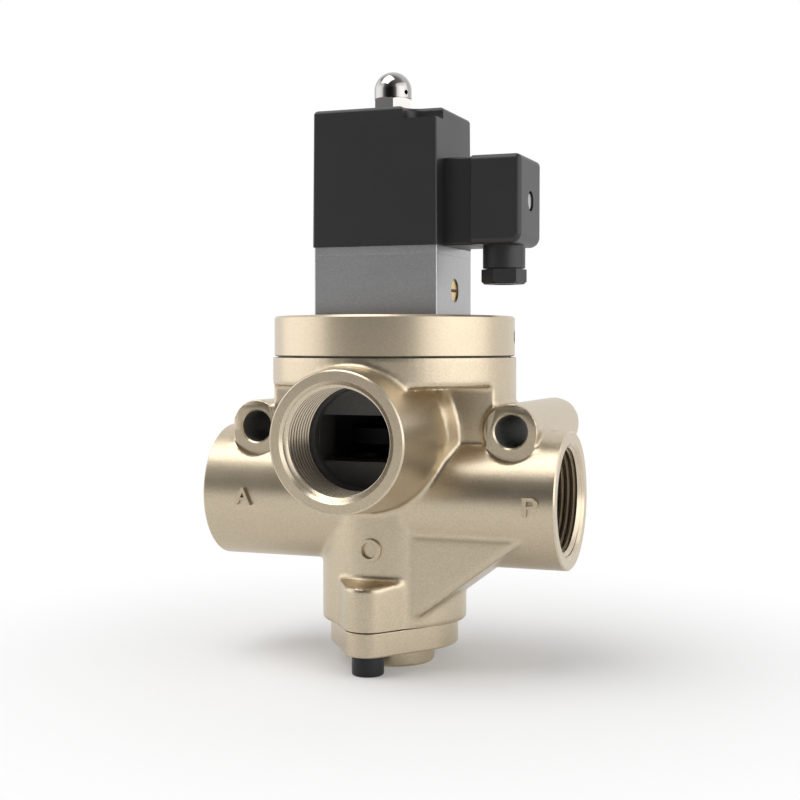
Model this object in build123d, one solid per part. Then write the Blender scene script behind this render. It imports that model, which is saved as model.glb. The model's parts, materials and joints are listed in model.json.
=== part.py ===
from build123d import *
import os
from math import atan, cos, degrees, radians, sin, tan

# Two-position, three-way poppet valve worked by a solenoid pilot, in millimetres.
# The origin is the centre of the bottom boss, on the stem's axis. Z is up.
# The inlet P looks along +X, the outlet A along -X and the exhaust O along -Y.

# Heights that add up from the surface the valve stands on
boss_stand = 7.7
bottom_cover_thickness = 9.3
line_axis_height = 48.3
exhaust_axis_rise = 24.1
top_joint_rise = 30.2
cover_thickness = 15.4
block_height = 23.1
plate_thickness = 3.3
coil_height = 52.1
cap_nut_height = 16.5

# Body casting
barrel_radius = 47.6
barrel_rim_height = 11.2
line_tube_radius = 26.3
line_tube_reach = 71.0
exhaust_tube_radius = 25.5
exhaust_root_gap = 1.6
exhaust_blend = 4.0
exhaust_reach = 59.5
shoulder_front = 15.8
shoulder_drop = 37.6
column_radius = 28.3
column_edge_fillet = 2.9
column_blend = 4.0
wedge_half_width = 23.6
wedge_reach = 58.3
wedge_top_drop = 13.5
wedge_tip_x = 19.4
wedge_tip_height = 5.6
duct_wall = 4.0
duct_half_width = 16.0
duct_roof_drop = 2.0
duct_inner_overlap = 4.0
duct_inner_drop = 3.0
shoulder_round = 8.0
line_rim_fillet = 3.0
exhaust_rim_fillet = 1.2

# Mounting bosses
mount_spacing = 104.0
mount_axis_rise = 26.6
mount_boss_radius = 10.35
mount_hole_radius = 6.2
mount_back = 49.7
mount_boss_stand = 1.2
mount_boss_edge = 0.8
spot_face_margin = 0.6

# Pipe ports, size 1 1/4 of the parallel pipe thread, walls at the thread's root
port_thread_radius = 20.955
port_thread_length = 18.0
port_chamfer = 0.6
port_undercut_radius = 21.3
port_undercut_width = 2.5
port_bore_radius = 18.7
port_bore_depth = 28.4

# Flow chambers on the stem's axis: those of the inlet and the outlet lie round the line tube's axis,
# that of the exhaust lies round the exhaust tube's axis
inlet_chamber_radius = 20.5
lower_seat_drop = 13.3
lower_seat_thickness = 4.0
seat_bore_radius = 14.5
outlet_chamber_radius = 24.0
outlet_chamber_drop = 6.3
outlet_chamber_rise = 7.7
upper_seat_drop = 9.0
upper_seat_thickness = 4.0
seat_lip_height = 1.0
seat_lip_width = 2.2
upper_seat_radius = 19.0
exhaust_chamber_radius = 25.0
exhaust_chamber_rise = 8.4
window_half_width = 18.4

# Moving valve assembly
valve_stroke = 5.5
seat_gap = 0.1
stem_radius = 4.0
stem_thread_radius = 3.0
stem_collar_radius = 7.0
stem_collar_thickness = 2.0
stem_tail = 1.0
stem_tip = 0.4
poppet_radius = 17.0
facing_thickness = 3.0
poppet_disc_thickness = 3.0
spacer_radius = 6.5
poppet_nut_height = 4.0
poppet_nut_flats = 13.0
piston_radius = 34.0
piston_thickness = 6.0
piston_roof_gap = 0.3
piston_seal_width = 2.6
piston_seal_depth = 2.6
piston_nut_height = 3.6
piston_nut_flats = 10.0
piston_bore_depth = 8.6
piston_roof_height = 4.0
bush_radius = 7.0
bush_flange_radius = 10.0
bush_flange_thickness = 1.6
stem_seal_radius = 5.8
stem_seal_thickness = 2.4

# Return spring, wound from flat wire
spring_radius = 10.4
spring_wire_width = 2.2
spring_wire_height = 1.6
spring_turns = 4.0
spring_pocket_radius = 12.2
spring_pocket_floor = 4.0

# Top cover
cover_radius = 47.0
cover_edge = 0.8
cover_screw_circle = 41.0
cover_screw_radius = 2.5
cover_screw_head_radius = 4.25
cover_screw_head_height = 5.0
cover_screw_depth = 8.0
cover_screw_flats = 4.0
cover_screw_socket = 2.5
cover_seal_radius = 36.3
cover_seal_width = 2.0
cover_seal_depth = 1.5
nut_pocket_radius = 9.0
nut_pocket_depth = 4.5
set_screw_angle = 11.0
set_screw_height = 7.4
set_screw_radius = 2.5
set_screw_length = 5.0
set_screw_recess = 0.4
set_screw_flats = 3.0
set_screw_socket = 1.7
pilot_drill_radius = 1.25
pilot_drill_circle = 12.0
supply_drill_x = 43.6
supply_drill_y = 6.0

# Bottom cover, its bolts and the body's foot
foot_radius = 25.4
foot_lug_radius = 9.0
foot_lug_height = 18.6
bottom_margin = 0.3
bolt_offset = 28.6
bolt_radius = 4.0
bolt_head_radius = 6.1
bolt_depth = 13.0
bolt_socket_flats = 6.0
bolt_socket_depth = 4.0
boss_radius = 15.7
boss_edge = 0.8
bottom_cover_edge = 0.8
bottom_seal_radius = 22.2
bottom_seal_width = 1.8
bottom_seal_depth = 1.4

# Pilot block and its inner pieces
pilot_x = -0.7
block_length = 49.8
block_width = 42.2
block_shift_y = 1.25
block_screw_inset = 5.5
block_screw_radius = 2.0
block_screw_head_height = 2.0
block_screw_flats = 2.5
block_screw_socket = 1.4
block_corner = 0.6
block_screw_depth = 7.0
block_seal_radius = 16.5
block_seal_width = 2.0
block_seal_depth = 1.2
pilot_chamber_radius = 7.0
nozzle_radius = 3.5
nozzle_height = 7.0
nozzle_rise = 2.0
pilot_floor_wall = 0.7
nozzle_orifice_radius = 0.9
nozzle_lip_radius = 1.8
nozzle_well_radius = 1.8
override_height = 9.9
override_y = 1.8
override_head_radius = 4.5
override_head_length = 3.0
override_recess = 0.6
override_stem_radius = 3.0
override_stem_end = 4.8
override_slot_width = 1.2
override_slot_depth = 1.4
override_seal_length = 1.6
override_seal_radius = 3.8
bypass_drill_x = 6.8
bypass_drill_radius = 0.9
outlet_drill_offset = 5.2

# Armature tube and plunger
tube_flange_radius = 11.0
tube_flange_thickness = 3.0
tube_outer_radius = 6.5
tube_wall = 1.4
plunger_length = 31.8
plunger_stroke = 2.0
core_gap = 0.5
plunger_seal_radius = 2.5
plunger_seal_thickness = 1.5
plunger_pocket_radius = 3.2
plunger_pocket_depth = 14.0
stud_length = 7.5
stud_radius = 4.0
stud_edge = 0.6
plunger_spring_radius = 2.5
plunger_spring_wire = 0.6
plunger_spring_turns = 4.0

# Coil and its connector base
coil_length = 50.7
coil_width = 42.8
coil_shift_x = -0.3
coil_draft = 0.5
coil_corner = 1.2
coil_edge = 1.6
notch_length = 13.9
notch_depth = 8.6
notch_height = 4.7
notch_corner = 5.0
base_length = 10.5
base_half_width = 11.8
base_height = 33.0
base_corner = 1.0
cap_seal_radius = 7.5
cap_seal_thickness = 1.2
cap_nut_flats = 13.9
cap_hex_height = 5.9
cap_dome_radius = 7.3
cap_bore_depth = 10.5
vent_radius = 0.9
vent_height = 8.0
vent_angle = -25.0
cap_nut_turn = -9.3

# Connector plug and cable gland
gasket_thickness = 1.0
plug_length = 19.0
plug_half_width = 14.9
plug_height = 33.2
plug_corner = 2.2
plug_wall = 2.4
plug_front_wall = 3.2
plug_low_corner = 4.0
insert_length = 11.0
insert_clearance = 0.2
blade_width = 6.3
blade_thickness = 0.8
blade_circle = 8.5
blade_length = 8.0
blade_root = 2.0
blade_slot_margin = 0.3
plug_screw_height = 16.7
plug_screw_radius = 1.5
plug_screw_head_radius = 3.0
plug_screw_recess_radius = 3.8
plug_screw_recess = 1.8
plug_screw_grip = 5.0
plug_screw_slot_width = 0.8
plug_screw_slot_depth = 0.6
gland_setback = 10.4
sleeve_radius = 8.06
sleeve_length = 8.4
sleeve_bore_radius = 6.6
gland_gap = 0.4
gland_hex_height = 5.6
gland_hex_flats = 14.9
gland_spigot_length = 4.6
gland_bore_radius = 4.2
gland_washer_bore_radius = 4.7
gland_seal_bore_radius = 3.8
gland_washer_thickness = 0.8
gland_throat_radius = 5.0
gland_hex_turn = 18.0
gland_hex_edge = 1.0
plug_screw_sunk = 0.6

# Clearances
thread_clearance = 0.05
running_clearance = 0.05
loose_clearance = 0.1
bolt_clearance = 0.4
screw_edge_share = 0.08
cut_margin = 1.0

# Levels that follow from the heights
body_low = boss_stand + bottom_cover_thickness
line_z = body_low + line_axis_height
exhaust_z = line_z + exhaust_axis_rise
body_top = exhaust_z + top_joint_rise
cover_top = body_top + cover_thickness
block_top = cover_top + block_height
plate_top = block_top + plate_thickness
coil_top = plate_top + coil_height
exhaust_root_radius = top_joint_rise - exhaust_root_gap
mount_z = line_z + mount_axis_rise
mount_front = -shoulder_front - mount_boss_stand
rim_z = body_top - barrel_rim_height
shoulder_z = body_top - shoulder_drop
piston_floor = body_top - piston_bore_depth
piston_roof = body_top + piston_roof_height
drill_z = body_top + set_screw_height
supply_x = pilot_drill_circle * cos(radians(set_screw_angle))
supply_y = pilot_drill_circle * sin(radians(set_screw_angle))
outlet_drill_x = pilot_x - outlet_drill_offset
exhaust_ceiling = exhaust_z + exhaust_chamber_rise
upper_seat_z = exhaust_z - upper_seat_drop
lower_seat_z = line_z - lower_seat_drop
seat_step_z = upper_seat_z - seat_lip_height
lower_seat_top = lower_seat_z + lower_seat_thickness
outlet_low_z = line_z - outlet_chamber_drop
outlet_high_z = line_z + outlet_chamber_rise
wedge_top_z = line_z - wedge_top_drop
wedge_tip_z = body_low + wedge_tip_height

# Levels of the moving assembly at rest: the inlet is closed, the exhaust open
lower_facing_top = lower_seat_z - seat_gap
lower_disc_top = lower_facing_top - facing_thickness
lower_disc_low = lower_disc_top - poppet_disc_thickness
upper_facing_low = upper_seat_z + valve_stroke + seat_gap
upper_disc_low = upper_facing_low + facing_thickness
stem_collar_low = upper_disc_low + poppet_disc_thickness
piston_top = piston_roof - piston_roof_gap
piston_low = piston_top - piston_thickness

# Levels in the pilot stage at rest: the plunger is down on its nozzle
override_z = cover_top + override_height
pilot_chamber_floor = override_z + override_stem_radius + pilot_floor_wall
nozzle_lip_z = pilot_chamber_floor + nozzle_rise
nozzle_low = nozzle_lip_z - nozzle_height
tube_flange_low = block_top - tube_flange_thickness
plunger_low = nozzle_lip_z + seat_gap
plunger_top = plunger_low + plunger_length
core_low = plunger_top + plunger_stroke + core_gap
plunger_radius = tube_outer_radius - tube_wall - loose_clearance

# Places along X of the block, the coil and the plug
block_face_x = pilot_x + block_length / 2
coil_x = pilot_x + coil_shift_x
coil_face_x = coil_x + coil_length / 2
base_face_x = coil_face_x + base_length
plug_back_x = base_face_x + gasket_thickness
plug_face_x = plug_back_x + plug_length
gland_x = plug_face_x - gland_setback
plug_screw_z = plate_top + plug_screw_height
sleeve_low = plate_top - sleeve_length
gland_hex_top = sleeve_low - gland_gap
gland_hex_low = gland_hex_top - gland_hex_height


def upright(radius, low, high, x=0, y=0):
    """Round bar along Z between two levels."""
    bar = Cylinder(radius, high - low, align=(Align.CENTER, Align.CENTER, Align.MIN))
    return Pos(x, y, low) * bar


def along_x(radius, start, end, y=0, z=0):
    """Round bar along X between two places."""
    bar = Cylinder(radius, end - start, align=(Align.CENTER, Align.CENTER, Align.MIN))
    return Pos(start, y, z) * Rot(0, 90, 0) * bar


def along_y(radius, start, end, x=0, z=0):
    """Round bar along Y between two places."""
    bar = Cylinder(radius, end - start, align=(Align.CENTER, Align.CENTER, Align.MIN))
    return Pos(x, start, z) * Rot(-90, 0, 0) * bar


def ring(outer, inner, low, high, x=0, y=0):
    """Round ring on an upright axis."""
    return upright(outer, low, high, x, y) - upright(inner, low, high, x, y)


def slab(x0, x1, y0, y1, z0, z1):
    """Rectangular block between two corners."""
    block = Box(x1 - x0, y1 - y0, z1 - z0, align=(Align.MIN, Align.MIN, Align.MIN))
    return Pos(x0, y0, z0) * block


def hexagon(flats, low, high, x=0, y=0, turn=0.0):
    """Upright hexagonal bar, measured across its flats."""
    outline = RegularPolygon(flats / 2, 6, major_radius=False, rotation=turn)
    return Pos(x, y, low) * extrude(outline, high - low)


def turned(points, x=0, y=0):
    """Turned piece on an upright axis, from its half section as radius and height."""
    section = make_face(Polyline(*[(r, 0, z) for r, z in points], close=True))
    return Pos(x, y, 0) * revolve(section, Axis.Z)


def lug_plate(round_radius, lug_radius, low, high):
    """Round plate drawn out to a lug over each bottom bolt."""
    outline = Circle(round_radius)
    for side in (-1, 1):
        outline += Pos(0, side * bolt_offset) * Circle(lug_radius)
    return Pos(0, 0, low) * extrude(make_hull(outline.edges()), high - low)


def spring(radius, width, height, turns, low, high, x=0):
    """Compression spring of flat wire between two levels."""
    pitch = (high - low - height) / turns
    path = Helix(pitch, pitch * turns, radius)
    start = Plane(origin=path @ 0, x_dir=(1, 0, 0), z_dir=path % 0)
    wire = sweep(start * Rectangle(width, height), path, is_frenet=True)
    return Pos(x, 0, low + height / 2) * wire


def cover_screw_places():
    """Centres of the four top cover screws."""
    reach = cover_screw_circle * cos(radians(45))
    return [(reach * i, reach * j) for i in (-1, 1) for j in (-1, 1)]


def block_screw_places():
    """Centres of the four pilot block screws."""
    half_x = block_length / 2 - block_screw_inset
    half_y = block_width / 2 - block_screw_inset
    return [(pilot_x + i * half_x, block_shift_y + j * half_y) for i in (-1, 1) for j in (-1, 1)]


def port_tool():
    """What is machined out of a pipe port, with its mouth at the origin, facing +Z."""
    mouth = port_thread_radius + port_chamfer
    undercut = -port_thread_length
    inner = undercut - port_undercut_width
    return turned([
        (0, cut_margin), (mouth, cut_margin), (mouth, 0), (port_thread_radius, -port_chamfer),
        (port_thread_radius, undercut), (port_undercut_radius, undercut),
        (port_undercut_radius, inner), (port_bore_radius, inner),
        (port_bore_radius, -port_bore_depth), (0, -port_bore_depth),
    ])


def inlet_duct():
    """Sloped duct from the inlet bore down to the chamber under the lower seat."""
    slope = (wedge_top_z - wedge_tip_z) / (wedge_reach - wedge_tip_x)
    lift = duct_wall * (1 + slope ** 2) ** 0.5
    bore_end = line_tube_reach - port_bore_depth + cut_margin
    inner_x = inlet_chamber_radius - duct_inner_overlap

    def floor_at(x):
        return wedge_tip_z + (x - wedge_tip_x) * slope + lift

    outline = Polyline(
        (bore_end, 0, floor_at(bore_end)), (bore_end, 0, line_z + duct_half_width - duct_roof_drop),
        (outlet_chamber_radius + duct_wall, 0, lower_seat_z), (inner_x, 0, lower_seat_z - duct_inner_drop),
        (inner_x, 0, floor_at(inner_x)), close=True,
    )
    return extrude(make_face(outline), duct_half_width, dir=(0, 1, 0), both=True)


def exhaust_cove(exhaust_tube):
    """Hollow blend where the exhaust tube leaves the front of the shoulder."""
    reach = exhaust_root_radius + 2 * exhaust_blend
    panel = slab(-reach, reach, -shoulder_front, 0, exhaust_z - reach, exhaust_z + reach)
    blended = exhaust_tube + panel
    circles = blended.edges().filter_by(GeomType.CIRCLE)
    root = circles.sort_by(lambda e: abs(e.center().Y + shoulder_front))[0]
    blended = fillet(root, exhaust_blend)
    cove_front = -shoulder_front - exhaust_blend
    return blended & slab(-reach, reach, cove_front, -shoulder_front, shoulder_z, rim_z)


def cast_outline():
    """Outside of the casting, before anything is machined."""
    barrel = upright(barrel_radius, rim_z, body_top)
    half_disc = slab(-barrel_radius, barrel_radius, -shoulder_front, barrel_radius, shoulder_z, rim_z)
    shoulder = upright(barrel_radius, shoulder_z, rim_z) & half_disc
    low_arc = shoulder.edges().filter_by(GeomType.CIRCLE).group_by(Axis.Z)[0]
    shoulder = fillet(low_arc, shoulder_round)

    line_tube = along_x(line_tube_radius, -line_tube_reach, line_tube_reach, 0, line_z)
    line_tube = fillet(line_tube.edges().filter_by(GeomType.CIRCLE), line_rim_fillet)

    tube_section = [
        (0, 0), (exhaust_root_radius, 0), (exhaust_root_radius, shoulder_front),
        (exhaust_tube_radius, exhaust_reach), (0, exhaust_reach),
    ]
    exhaust_tube = Pos(0, 0, exhaust_z) * Rot(90, 0, 0) * turned(tube_section)
    rim = exhaust_tube.edges().filter_by(GeomType.CIRCLE).sort_by(Axis.Y)[0]
    exhaust_tube = fillet(rim, exhaust_rim_fillet)

    column = upright(column_radius, body_low, line_z)
    column = fillet(column.edges().filter_by(GeomType.CIRCLE).sort_by(Axis.Z)[0], column_edge_fillet)
    trunk = column + line_tube
    trunk = fillet(trunk.edges().filter_by(GeomType.BSPLINE), column_blend)
    trunk += upright(column_radius, line_z, exhaust_z)
    foot = lug_plate(foot_radius, foot_lug_radius, body_low, body_low + foot_lug_height)

    outline = Polyline(
        (0, 0, wedge_top_z), (wedge_reach, 0, wedge_top_z),
        (wedge_tip_x, 0, wedge_tip_z), (0, 0, wedge_tip_z), close=True,
    )
    wedge = extrude(make_face(outline), wedge_half_width, dir=(0, 1, 0), both=True)

    casting = barrel + shoulder + trunk + exhaust_tube + exhaust_cove(exhaust_tube) + foot + wedge
    for side in (-1, 1):
        x = side * mount_spacing / 2
        spot = mount_boss_radius + spot_face_margin
        casting -= along_y(spot, -line_tube_radius - cut_margin, -shoulder_front, x, mount_z)
        boss = along_y(mount_boss_radius, mount_front, mount_back, x, mount_z)
        ends = boss.edges().filter_by(GeomType.CIRCLE)
        casting += chamfer(ends, mount_boss_edge)
    return casting


def body():
    """Casting with its chambers, ports and bolt holes."""
    casting = cast_outline()
    casting -= Pos(line_tube_reach, 0, line_z) * Rot(0, 90, 0) * port_tool()
    casting -= Pos(-line_tube_reach, 0, line_z) * Rot(0, -90, 0) * port_tool()
    casting -= Pos(0, -exhaust_reach, exhaust_z) * Rot(90, 0, 0) * port_tool()

    casting -= upright(piston_radius, piston_floor, body_top)
    flange_seat = piston_floor - bush_flange_thickness
    casting -= upright(bush_flange_radius + thread_clearance, flange_seat, piston_floor)
    casting -= upright(bush_radius + thread_clearance, exhaust_ceiling, piston_floor)
    casting -= upright(exhaust_chamber_radius, upper_seat_z, exhaust_ceiling)
    casting -= upright(upper_seat_radius - 1, seat_step_z, upper_seat_z)
    casting -= upright(upper_seat_radius, lower_seat_top, seat_step_z)
    casting -= upright(outlet_chamber_radius, outlet_low_z, outlet_high_z)
    casting -= upright(inlet_chamber_radius, body_low, lower_seat_top)

    bore_end = line_tube_reach - port_bore_depth + cut_margin
    casting -= slab(-bore_end, 0, -duct_half_width, duct_half_width, outlet_low_z, outlet_high_z)
    window_end = exhaust_reach - port_bore_depth + cut_margin
    casting -= slab(-window_half_width, window_half_width, -window_end, 0, upper_seat_z, exhaust_ceiling)
    casting -= inlet_duct()

    casting -= ring(cover_seal_radius + cover_seal_width / 2, cover_seal_radius - cover_seal_width / 2,
                    body_top - cover_seal_depth, body_top)
    for x, y in cover_screw_places():
        casting -= upright(cover_screw_radius, body_top - cover_screw_depth, body_top, x, y)
    for side in (-1, 1):
        casting -= upright(bolt_radius, body_low, body_low + bolt_depth, 0, side * bolt_offset)
        x = side * mount_spacing / 2
        casting -= along_y(mount_hole_radius, mount_front, mount_back, x, mount_z)
    casting -= upright(pilot_drill_radius, line_z, body_top, supply_drill_x, supply_drill_y)
    return casting


def top_cover():
    """Turned cover over the piston, with its pilot drillings."""
    cover = turned([
        (0, piston_roof + nut_pocket_depth), (nut_pocket_radius, piston_roof + nut_pocket_depth),
        (nut_pocket_radius, piston_roof), (piston_radius, piston_roof), (piston_radius, body_top),
        (cover_radius - cover_edge / 2, body_top), (cover_radius, body_top + cover_edge / 2),
        (cover_radius, cover_top - cover_edge), (cover_radius - cover_edge, cover_top), (0, cover_top),
    ])
    seat = cover_top - cover_screw_head_height - bolt_clearance
    for x, y in cover_screw_places():
        cover -= upright(cover_screw_radius + bolt_clearance, body_top, seat, x, y)
        cover -= upright(cover_screw_head_radius + bolt_clearance, seat, cover_top, x, y)
    for x, y in block_screw_places():
        cover -= upright(block_screw_radius, cover_top - block_screw_depth, cover_top, x, y)
    cross = along_x(pilot_drill_radius, pilot_drill_circle, cover_radius, 0, drill_z)
    hole_start = cover_radius - set_screw_length
    screw_hole = along_x(set_screw_radius, hole_start, cover_radius + cut_margin, 0, drill_z)
    cover -= Rot(0, 0, set_screw_angle) * (cross + screw_hole)
    cover -= upright(pilot_drill_radius, drill_z, cover_top, supply_x, supply_y)
    cover -= upright(pilot_drill_radius, piston_roof, cover_top, outlet_drill_x, 0)
    cover -= upright(pilot_drill_radius, body_top, drill_z, supply_drill_x, supply_drill_y)
    return cover


def cover_seal():
    """Flat ring in the groove of the body's top face."""
    half = cover_seal_width / 2 - loose_clearance
    return ring(cover_seal_radius + half, cover_seal_radius - half, body_top - cover_seal_depth, body_top)


def socket_screw(head_radius, head_height, radius, length, flats, socket_depth):
    """Cylindrical head socket screw along +Z, with the underside of its head at the origin."""
    screw = upright(head_radius, 0, head_height) + upright(radius - thread_clearance, -length, 0)
    rim = screw.edges().filter_by(GeomType.CIRCLE).sort_by(Axis.Z)[-1]
    screw = chamfer(rim, head_radius * screw_edge_share)
    return screw - hexagon(flats, head_height - socket_depth, head_height)


def cover_screws():
    """Four socket screws through the top cover into the barrel."""
    seat = cover_top - cover_screw_head_height - bolt_clearance
    length = seat - body_top + cover_screw_depth - bolt_clearance
    screw = socket_screw(cover_screw_head_radius, cover_screw_head_height, cover_screw_radius, length,
                         cover_screw_flats, cover_screw_socket)
    return [Pos(x, y, seat) * screw for x, y in cover_screw_places()]


def cover_set_screw():
    """Headless socket screw that closes the cross drilling in the cover's side."""
    face = cover_radius - set_screw_recess
    screw = along_x(set_screw_radius - thread_clearance, cover_radius - set_screw_length, face, 0, drill_z)
    socket = Pos(face, 0, drill_z) * Rot(0, -90, 0) * hexagon(set_screw_flats, 0, set_screw_socket)
    return Rot(0, 0, set_screw_angle) * (screw - socket)


def block_outline(low, high):
    """Outline that the pilot block and the plate on it share."""
    outline = Pos(pilot_x, block_shift_y) * Rectangle(block_length, block_width)
    return Pos(0, 0, low) * extrude(outline, high - low)


def pilot_block():
    """Pilot valve block with its drillings and the bore of the manual override."""
    block = block_outline(cover_top, block_top)
    upright_edges = block.edges().filter_by(Axis.Z)
    block = fillet(upright_edges, block_corner)
    block -= upright(tube_flange_radius + loose_clearance, tube_flange_low, block_top, pilot_x)
    block -= upright(pilot_chamber_radius, pilot_chamber_floor, tube_flange_low, pilot_x)
    block -= upright(nozzle_radius + thread_clearance, nozzle_low, pilot_chamber_floor, pilot_x)
    block -= upright(nozzle_well_radius, nozzle_low - nozzle_well_radius * 2, nozzle_low, pilot_x)
    block -= upright(pilot_drill_radius, cover_top, pilot_chamber_floor, outlet_drill_x)
    start = Vector(supply_x, supply_y, cover_top)
    finish = Vector(pilot_x, 0, nozzle_low - nozzle_well_radius)
    aim = (finish - start).normalized()
    run = (finish - start).length + 1
    block -= Plane(origin=start - aim, z_dir=aim) * upright(pilot_drill_radius, 0, run)
    share = (supply_x - bypass_drill_x) / (supply_x - pilot_x)
    bypass_low = cover_top + (finish.Z - cover_top) * share
    bypass_y = supply_y * (1 - share)
    block -= upright(bypass_drill_radius, bypass_low, pilot_chamber_floor + 1, bypass_drill_x, bypass_y)

    head_seat = block_face_x - override_recess - override_head_length
    seal_seat = head_seat - override_seal_length
    face = block_face_x + 1
    block -= along_x(override_head_radius + running_clearance, head_seat, face, override_y, override_z)
    block -= along_x(override_seal_radius + running_clearance, seal_seat, face, override_y, override_z)
    stem_bore = override_stem_radius + running_clearance
    block -= along_x(stem_bore, override_stem_end, face, override_y, override_z)
    outer = block_seal_radius + block_seal_width / 2
    block -= ring(outer, outer - block_seal_width, cover_top, cover_top + block_seal_depth, pilot_x)
    for x, y in block_screw_places():
        block -= upright(block_screw_radius + bolt_clearance, cover_top, block_top, x, y)
    return block


def block_seal():
    """Flat ring under the pilot block, round its drillings."""
    outer = block_seal_radius + block_seal_width / 2 - loose_clearance
    inner = block_seal_radius - block_seal_width / 2 + loose_clearance
    return ring(outer, inner, cover_top, cover_top + block_seal_depth, pilot_x)


def coil_plate():
    """Plate that holds the armature tube's flange down on the block."""
    plate = block_outline(block_top, plate_top)
    plate = fillet(plate.edges().filter_by(Axis.Z), block_corner)
    plate -= upright(tube_outer_radius + loose_clearance, block_top, plate_top, pilot_x)
    for x, y in block_screw_places():
        plate -= upright(block_screw_radius + bolt_clearance, block_top, plate_top, x, y)
        plate -= countersink(block_screw_radius + bolt_clearance, x, y)
    return plate


def countersink(radius, x, y):
    """Cone of a countersunk head whose flat top lies in the plate's upper face."""
    low = plate_top - block_screw_head_height
    cone = turned([(0, low), (radius, low), (radius + block_screw_head_height, plate_top), (0, plate_top)])
    return Pos(x, y, 0) * cone


def block_screws():
    """Four countersunk screws through the plate and the block into the cover."""
    radius = block_screw_radius - thread_clearance
    low = cover_top - block_screw_depth + bolt_clearance
    screws = []
    for x, y in block_screw_places():
        screw = upright(radius, low, plate_top - block_screw_head_height, x, y) + countersink(radius, x, y)
        screw -= hexagon(block_screw_flats, plate_top - block_screw_socket, plate_top, x, y)
        screws.append(screw)
    return screws


def nozzle():
    """Brass pilot nozzle pressed into the block."""
    shoulder = nozzle_lip_z - nozzle_rise / 2
    return turned([
        (nozzle_orifice_radius, nozzle_low), (nozzle_radius, nozzle_low), (nozzle_radius, shoulder),
        (nozzle_lip_radius, nozzle_lip_z), (nozzle_orifice_radius, nozzle_lip_z),
    ], pilot_x)


def override_screw():
    """Slotted brass screw of the manual override: a quarter turn opens its cross hole."""
    face = block_face_x - override_recess
    head_seat = face - override_head_length
    tip = override_stem_end + loose_clearance
    screw = along_x(override_stem_radius, tip, head_seat, override_y, override_z)
    screw += along_x(override_head_radius, head_seat + loose_clearance / 2, face, override_y, override_z)
    screw += along_x(override_stem_radius, head_seat - 1, head_seat + 1, override_y, override_z)
    half = override_slot_width / 2
    reach = override_head_radius + 1
    screw -= slab(face - override_slot_depth, face + 1, override_y - reach, override_y + reach,
                  override_z - half, override_z + half)
    hole = along_y(bypass_drill_radius, -reach, reach, bypass_drill_x, override_z)
    return screw - Pos(0, override_y, 0) * hole


def override_seal():
    """Ring round the override screw's stem, behind its head."""
    seat = block_face_x - override_recess - override_head_length - override_seal_length
    high = seat + override_seal_length - loose_clearance
    outer = along_x(override_seal_radius, seat, high, override_y, override_z)
    return outer - along_x(override_stem_radius + running_clearance, seat, high, override_y, override_z)


def armature_tube():
    """Tube with its flange, the fixed core in its upper end and the stud for the cap nut."""
    inner = tube_outer_radius - tube_wall
    return turned([
        (inner, tube_flange_low), (tube_flange_radius, tube_flange_low), (tube_flange_radius, block_top),
        (tube_outer_radius, block_top), (tube_outer_radius, coil_top - cap_seal_thickness),
        (stud_radius, coil_top - cap_seal_thickness), (stud_radius, coil_top + stud_length - stud_edge),
        (stud_radius - stud_edge, coil_top + stud_length), (0, coil_top + stud_length),
        (0, core_low), (inner, core_low),
    ], pilot_x)


def plunger():
    """Soft iron plunger, with a seal recess below and a spring pocket above."""
    body_bar = upright(plunger_radius, plunger_low, plunger_top, pilot_x)
    body_bar -= upright(plunger_seal_radius, plunger_low, plunger_low + plunger_seal_thickness, pilot_x)
    pocket_floor = plunger_top - plunger_pocket_depth
    return body_bar - upright(plunger_pocket_radius, pocket_floor, plunger_top, pilot_x)


def plunger_seal():
    """Rubber disc that closes the nozzle."""
    radius = plunger_seal_radius - running_clearance
    return upright(radius, plunger_low, plunger_low + plunger_seal_thickness, pilot_x)


def plunger_spring():
    """Spring between the plunger and the fixed core."""
    low = plunger_top - plunger_pocket_depth
    wire = plunger_spring_wire
    return spring(plunger_spring_radius, wire, wire, plunger_spring_turns, low, core_low, pilot_x)


def coil():
    """Moulded coil with the base of its connector on one side."""
    taper = degrees(atan(coil_draft / coil_height))
    outline = Pos(coil_x, block_shift_y) * RectangleRounded(coil_length, coil_width, coil_corner)
    moulding = Pos(0, 0, plate_top) * extrude(outline, coil_height, taper=taper)
    front = block_shift_y - coil_width / 2
    notch = slab(coil_face_x - notch_length, coil_face_x + 1, front - 1, front + notch_depth,
                 coil_top - notch_height, coil_top + 1)
    inner_corner = notch.edges().filter_by(Axis.Z).sort_by(lambda e: e.center().X - e.center().Y)[0]
    moulding -= fillet(inner_corner, notch_corner)
    top_rim = moulding.faces().sort_by(Axis.Z)[-1].outer_wire().edges()
    moulding = fillet(top_rim, coil_edge)
    base = slab(coil_x, base_face_x, -base_half_width, base_half_width, plate_top, plate_top + base_height)
    base = fillet(base.edges().filter_by(Axis.X), base_corner)
    moulding += base
    moulding -= upright(tube_outer_radius + loose_clearance, plate_top, coil_top, pilot_x)
    moulding -= upright(cap_seal_radius + loose_clearance, coil_top - cap_seal_thickness, coil_top, pilot_x)
    hole_start = base_face_x - plug_screw_grip
    moulding -= along_x(plug_screw_radius, hole_start, base_face_x, 0, plug_screw_z)
    for blade in blade_boxes(base_face_x - blade_root, base_face_x, 0):
        moulding -= blade
    return moulding


def blade_boxes(start, end, margin):
    """Places of the three flat contacts round the plug's screw, two upright and one lying."""
    wide = blade_width / 2 + margin
    thin = blade_thickness / 2 + margin
    boxes = [slab(start, end, y - thin, y + thin, plug_screw_z - wide, plug_screw_z + wide)
             for y in (-blade_circle, blade_circle)]
    high = plug_screw_z + blade_circle
    boxes.append(slab(start, end, -wide, wide, high - thin, high + thin))
    return boxes


def contact_blades():
    """Three flat contacts moulded into the coil's connector base."""
    return blade_boxes(base_face_x - blade_root, base_face_x + blade_length, 0)


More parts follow.
